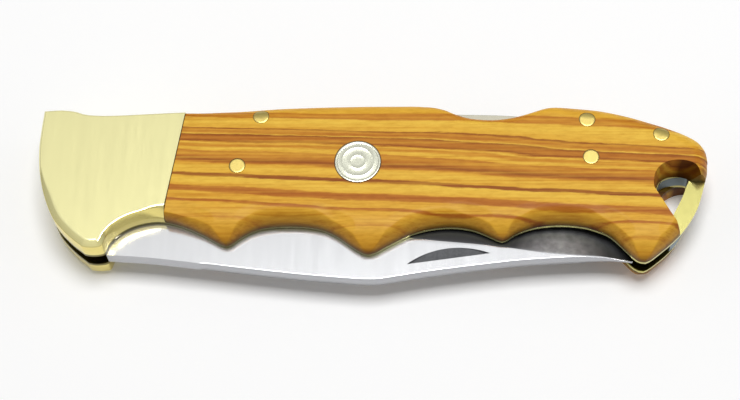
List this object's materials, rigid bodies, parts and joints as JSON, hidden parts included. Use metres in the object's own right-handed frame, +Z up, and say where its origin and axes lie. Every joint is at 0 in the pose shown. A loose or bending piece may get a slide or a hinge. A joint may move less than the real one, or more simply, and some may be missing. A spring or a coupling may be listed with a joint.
{
  "type": "folding knife",
  "caption": "Folding lock-back pocket knife, closed: brass bolsters, wood scales with finger grooves, steel blade with a nail nick, lock bar in the back, lanyard opening in the butt",
  "frame": {"origin": "the point where the blade pivot axis meets the outer face of the back bolster, which lies on the table", "axes": "+X along the handle from the bolster to the butt, +Y to the back of the handle (lock bar side), -Y to the finger grooves and the closed blade, +Z up through the thickness from the back half to the front half"},
  "size_m": [0.1257, 0.0347, 0.0131],
  "materials": {
    "brass": "satin brass, fine straight brushing across the bolster",
    "pin_brass": "brass rod ground flush",
    "olive_wood": "oiled olive wood, golden with brown streaks, satin",
    "blade_steel": "satin-finished stainless steel",
    "frame_steel": "ground steel, edges filed smooth",
    "spring_steel": "blued-grey spring steel",
    "nickel_silver": "polished nickel silver",
    "bronze": "phosphor bronze shim"
  },
  "bodies": {
    "handle": {"front_bolster": "brass", "back_bolster": "brass", "front_liner": "brass", "back_liner": "brass", "pivot_pin": "pin_brass", "lock_bar_pin": "pin_brass", "spacer_pin_upper": "pin_brass", "spacer_pin_middle": "pin_brass", "spacer_pin_rear": "pin_brass", "front_scale_rivet": "pin_brass", "back_scale_rivet": "pin_brass", "front_bolster_rivet_upper": "pin_brass", "front_bolster_rivet_lower": "pin_brass", "back_bolster_rivet_upper": "pin_brass", "back_bolster_rivet_lower": "pin_brass", "front_scale": "olive_wood", "back_scale": "olive_wood", "back_spacer": "frame_steel", "lock_spring": "spring_steel", "shield": "nickel_silver", "front_washer": "bronze", "back_washer": "bronze"},
    "blade": {"blade": "blade_steel"},
    "lock_bar": {"lock_bar": "frame_steel"}
  },
  "joints": [
    {"name": "blade_pivot", "type": "hinge", "parent": "handle", "child": "blade", "pos_m": [0, 0, 0.0065], "axis": [0, 0, -1], "range_deg": [0, 180]},
    {"name": "lock_bar_rock", "type": "hinge", "parent": "handle", "child": "lock_bar", "pos_m": [0.0268, 0.01305, 0.0065], "axis": [0, 0, -1], "range_deg": [-2, 2], "stiffness_Nm_per_rad": 0.5, "springref_deg": -17.19, "deforming": ["lock_spring"]}
  ]
}
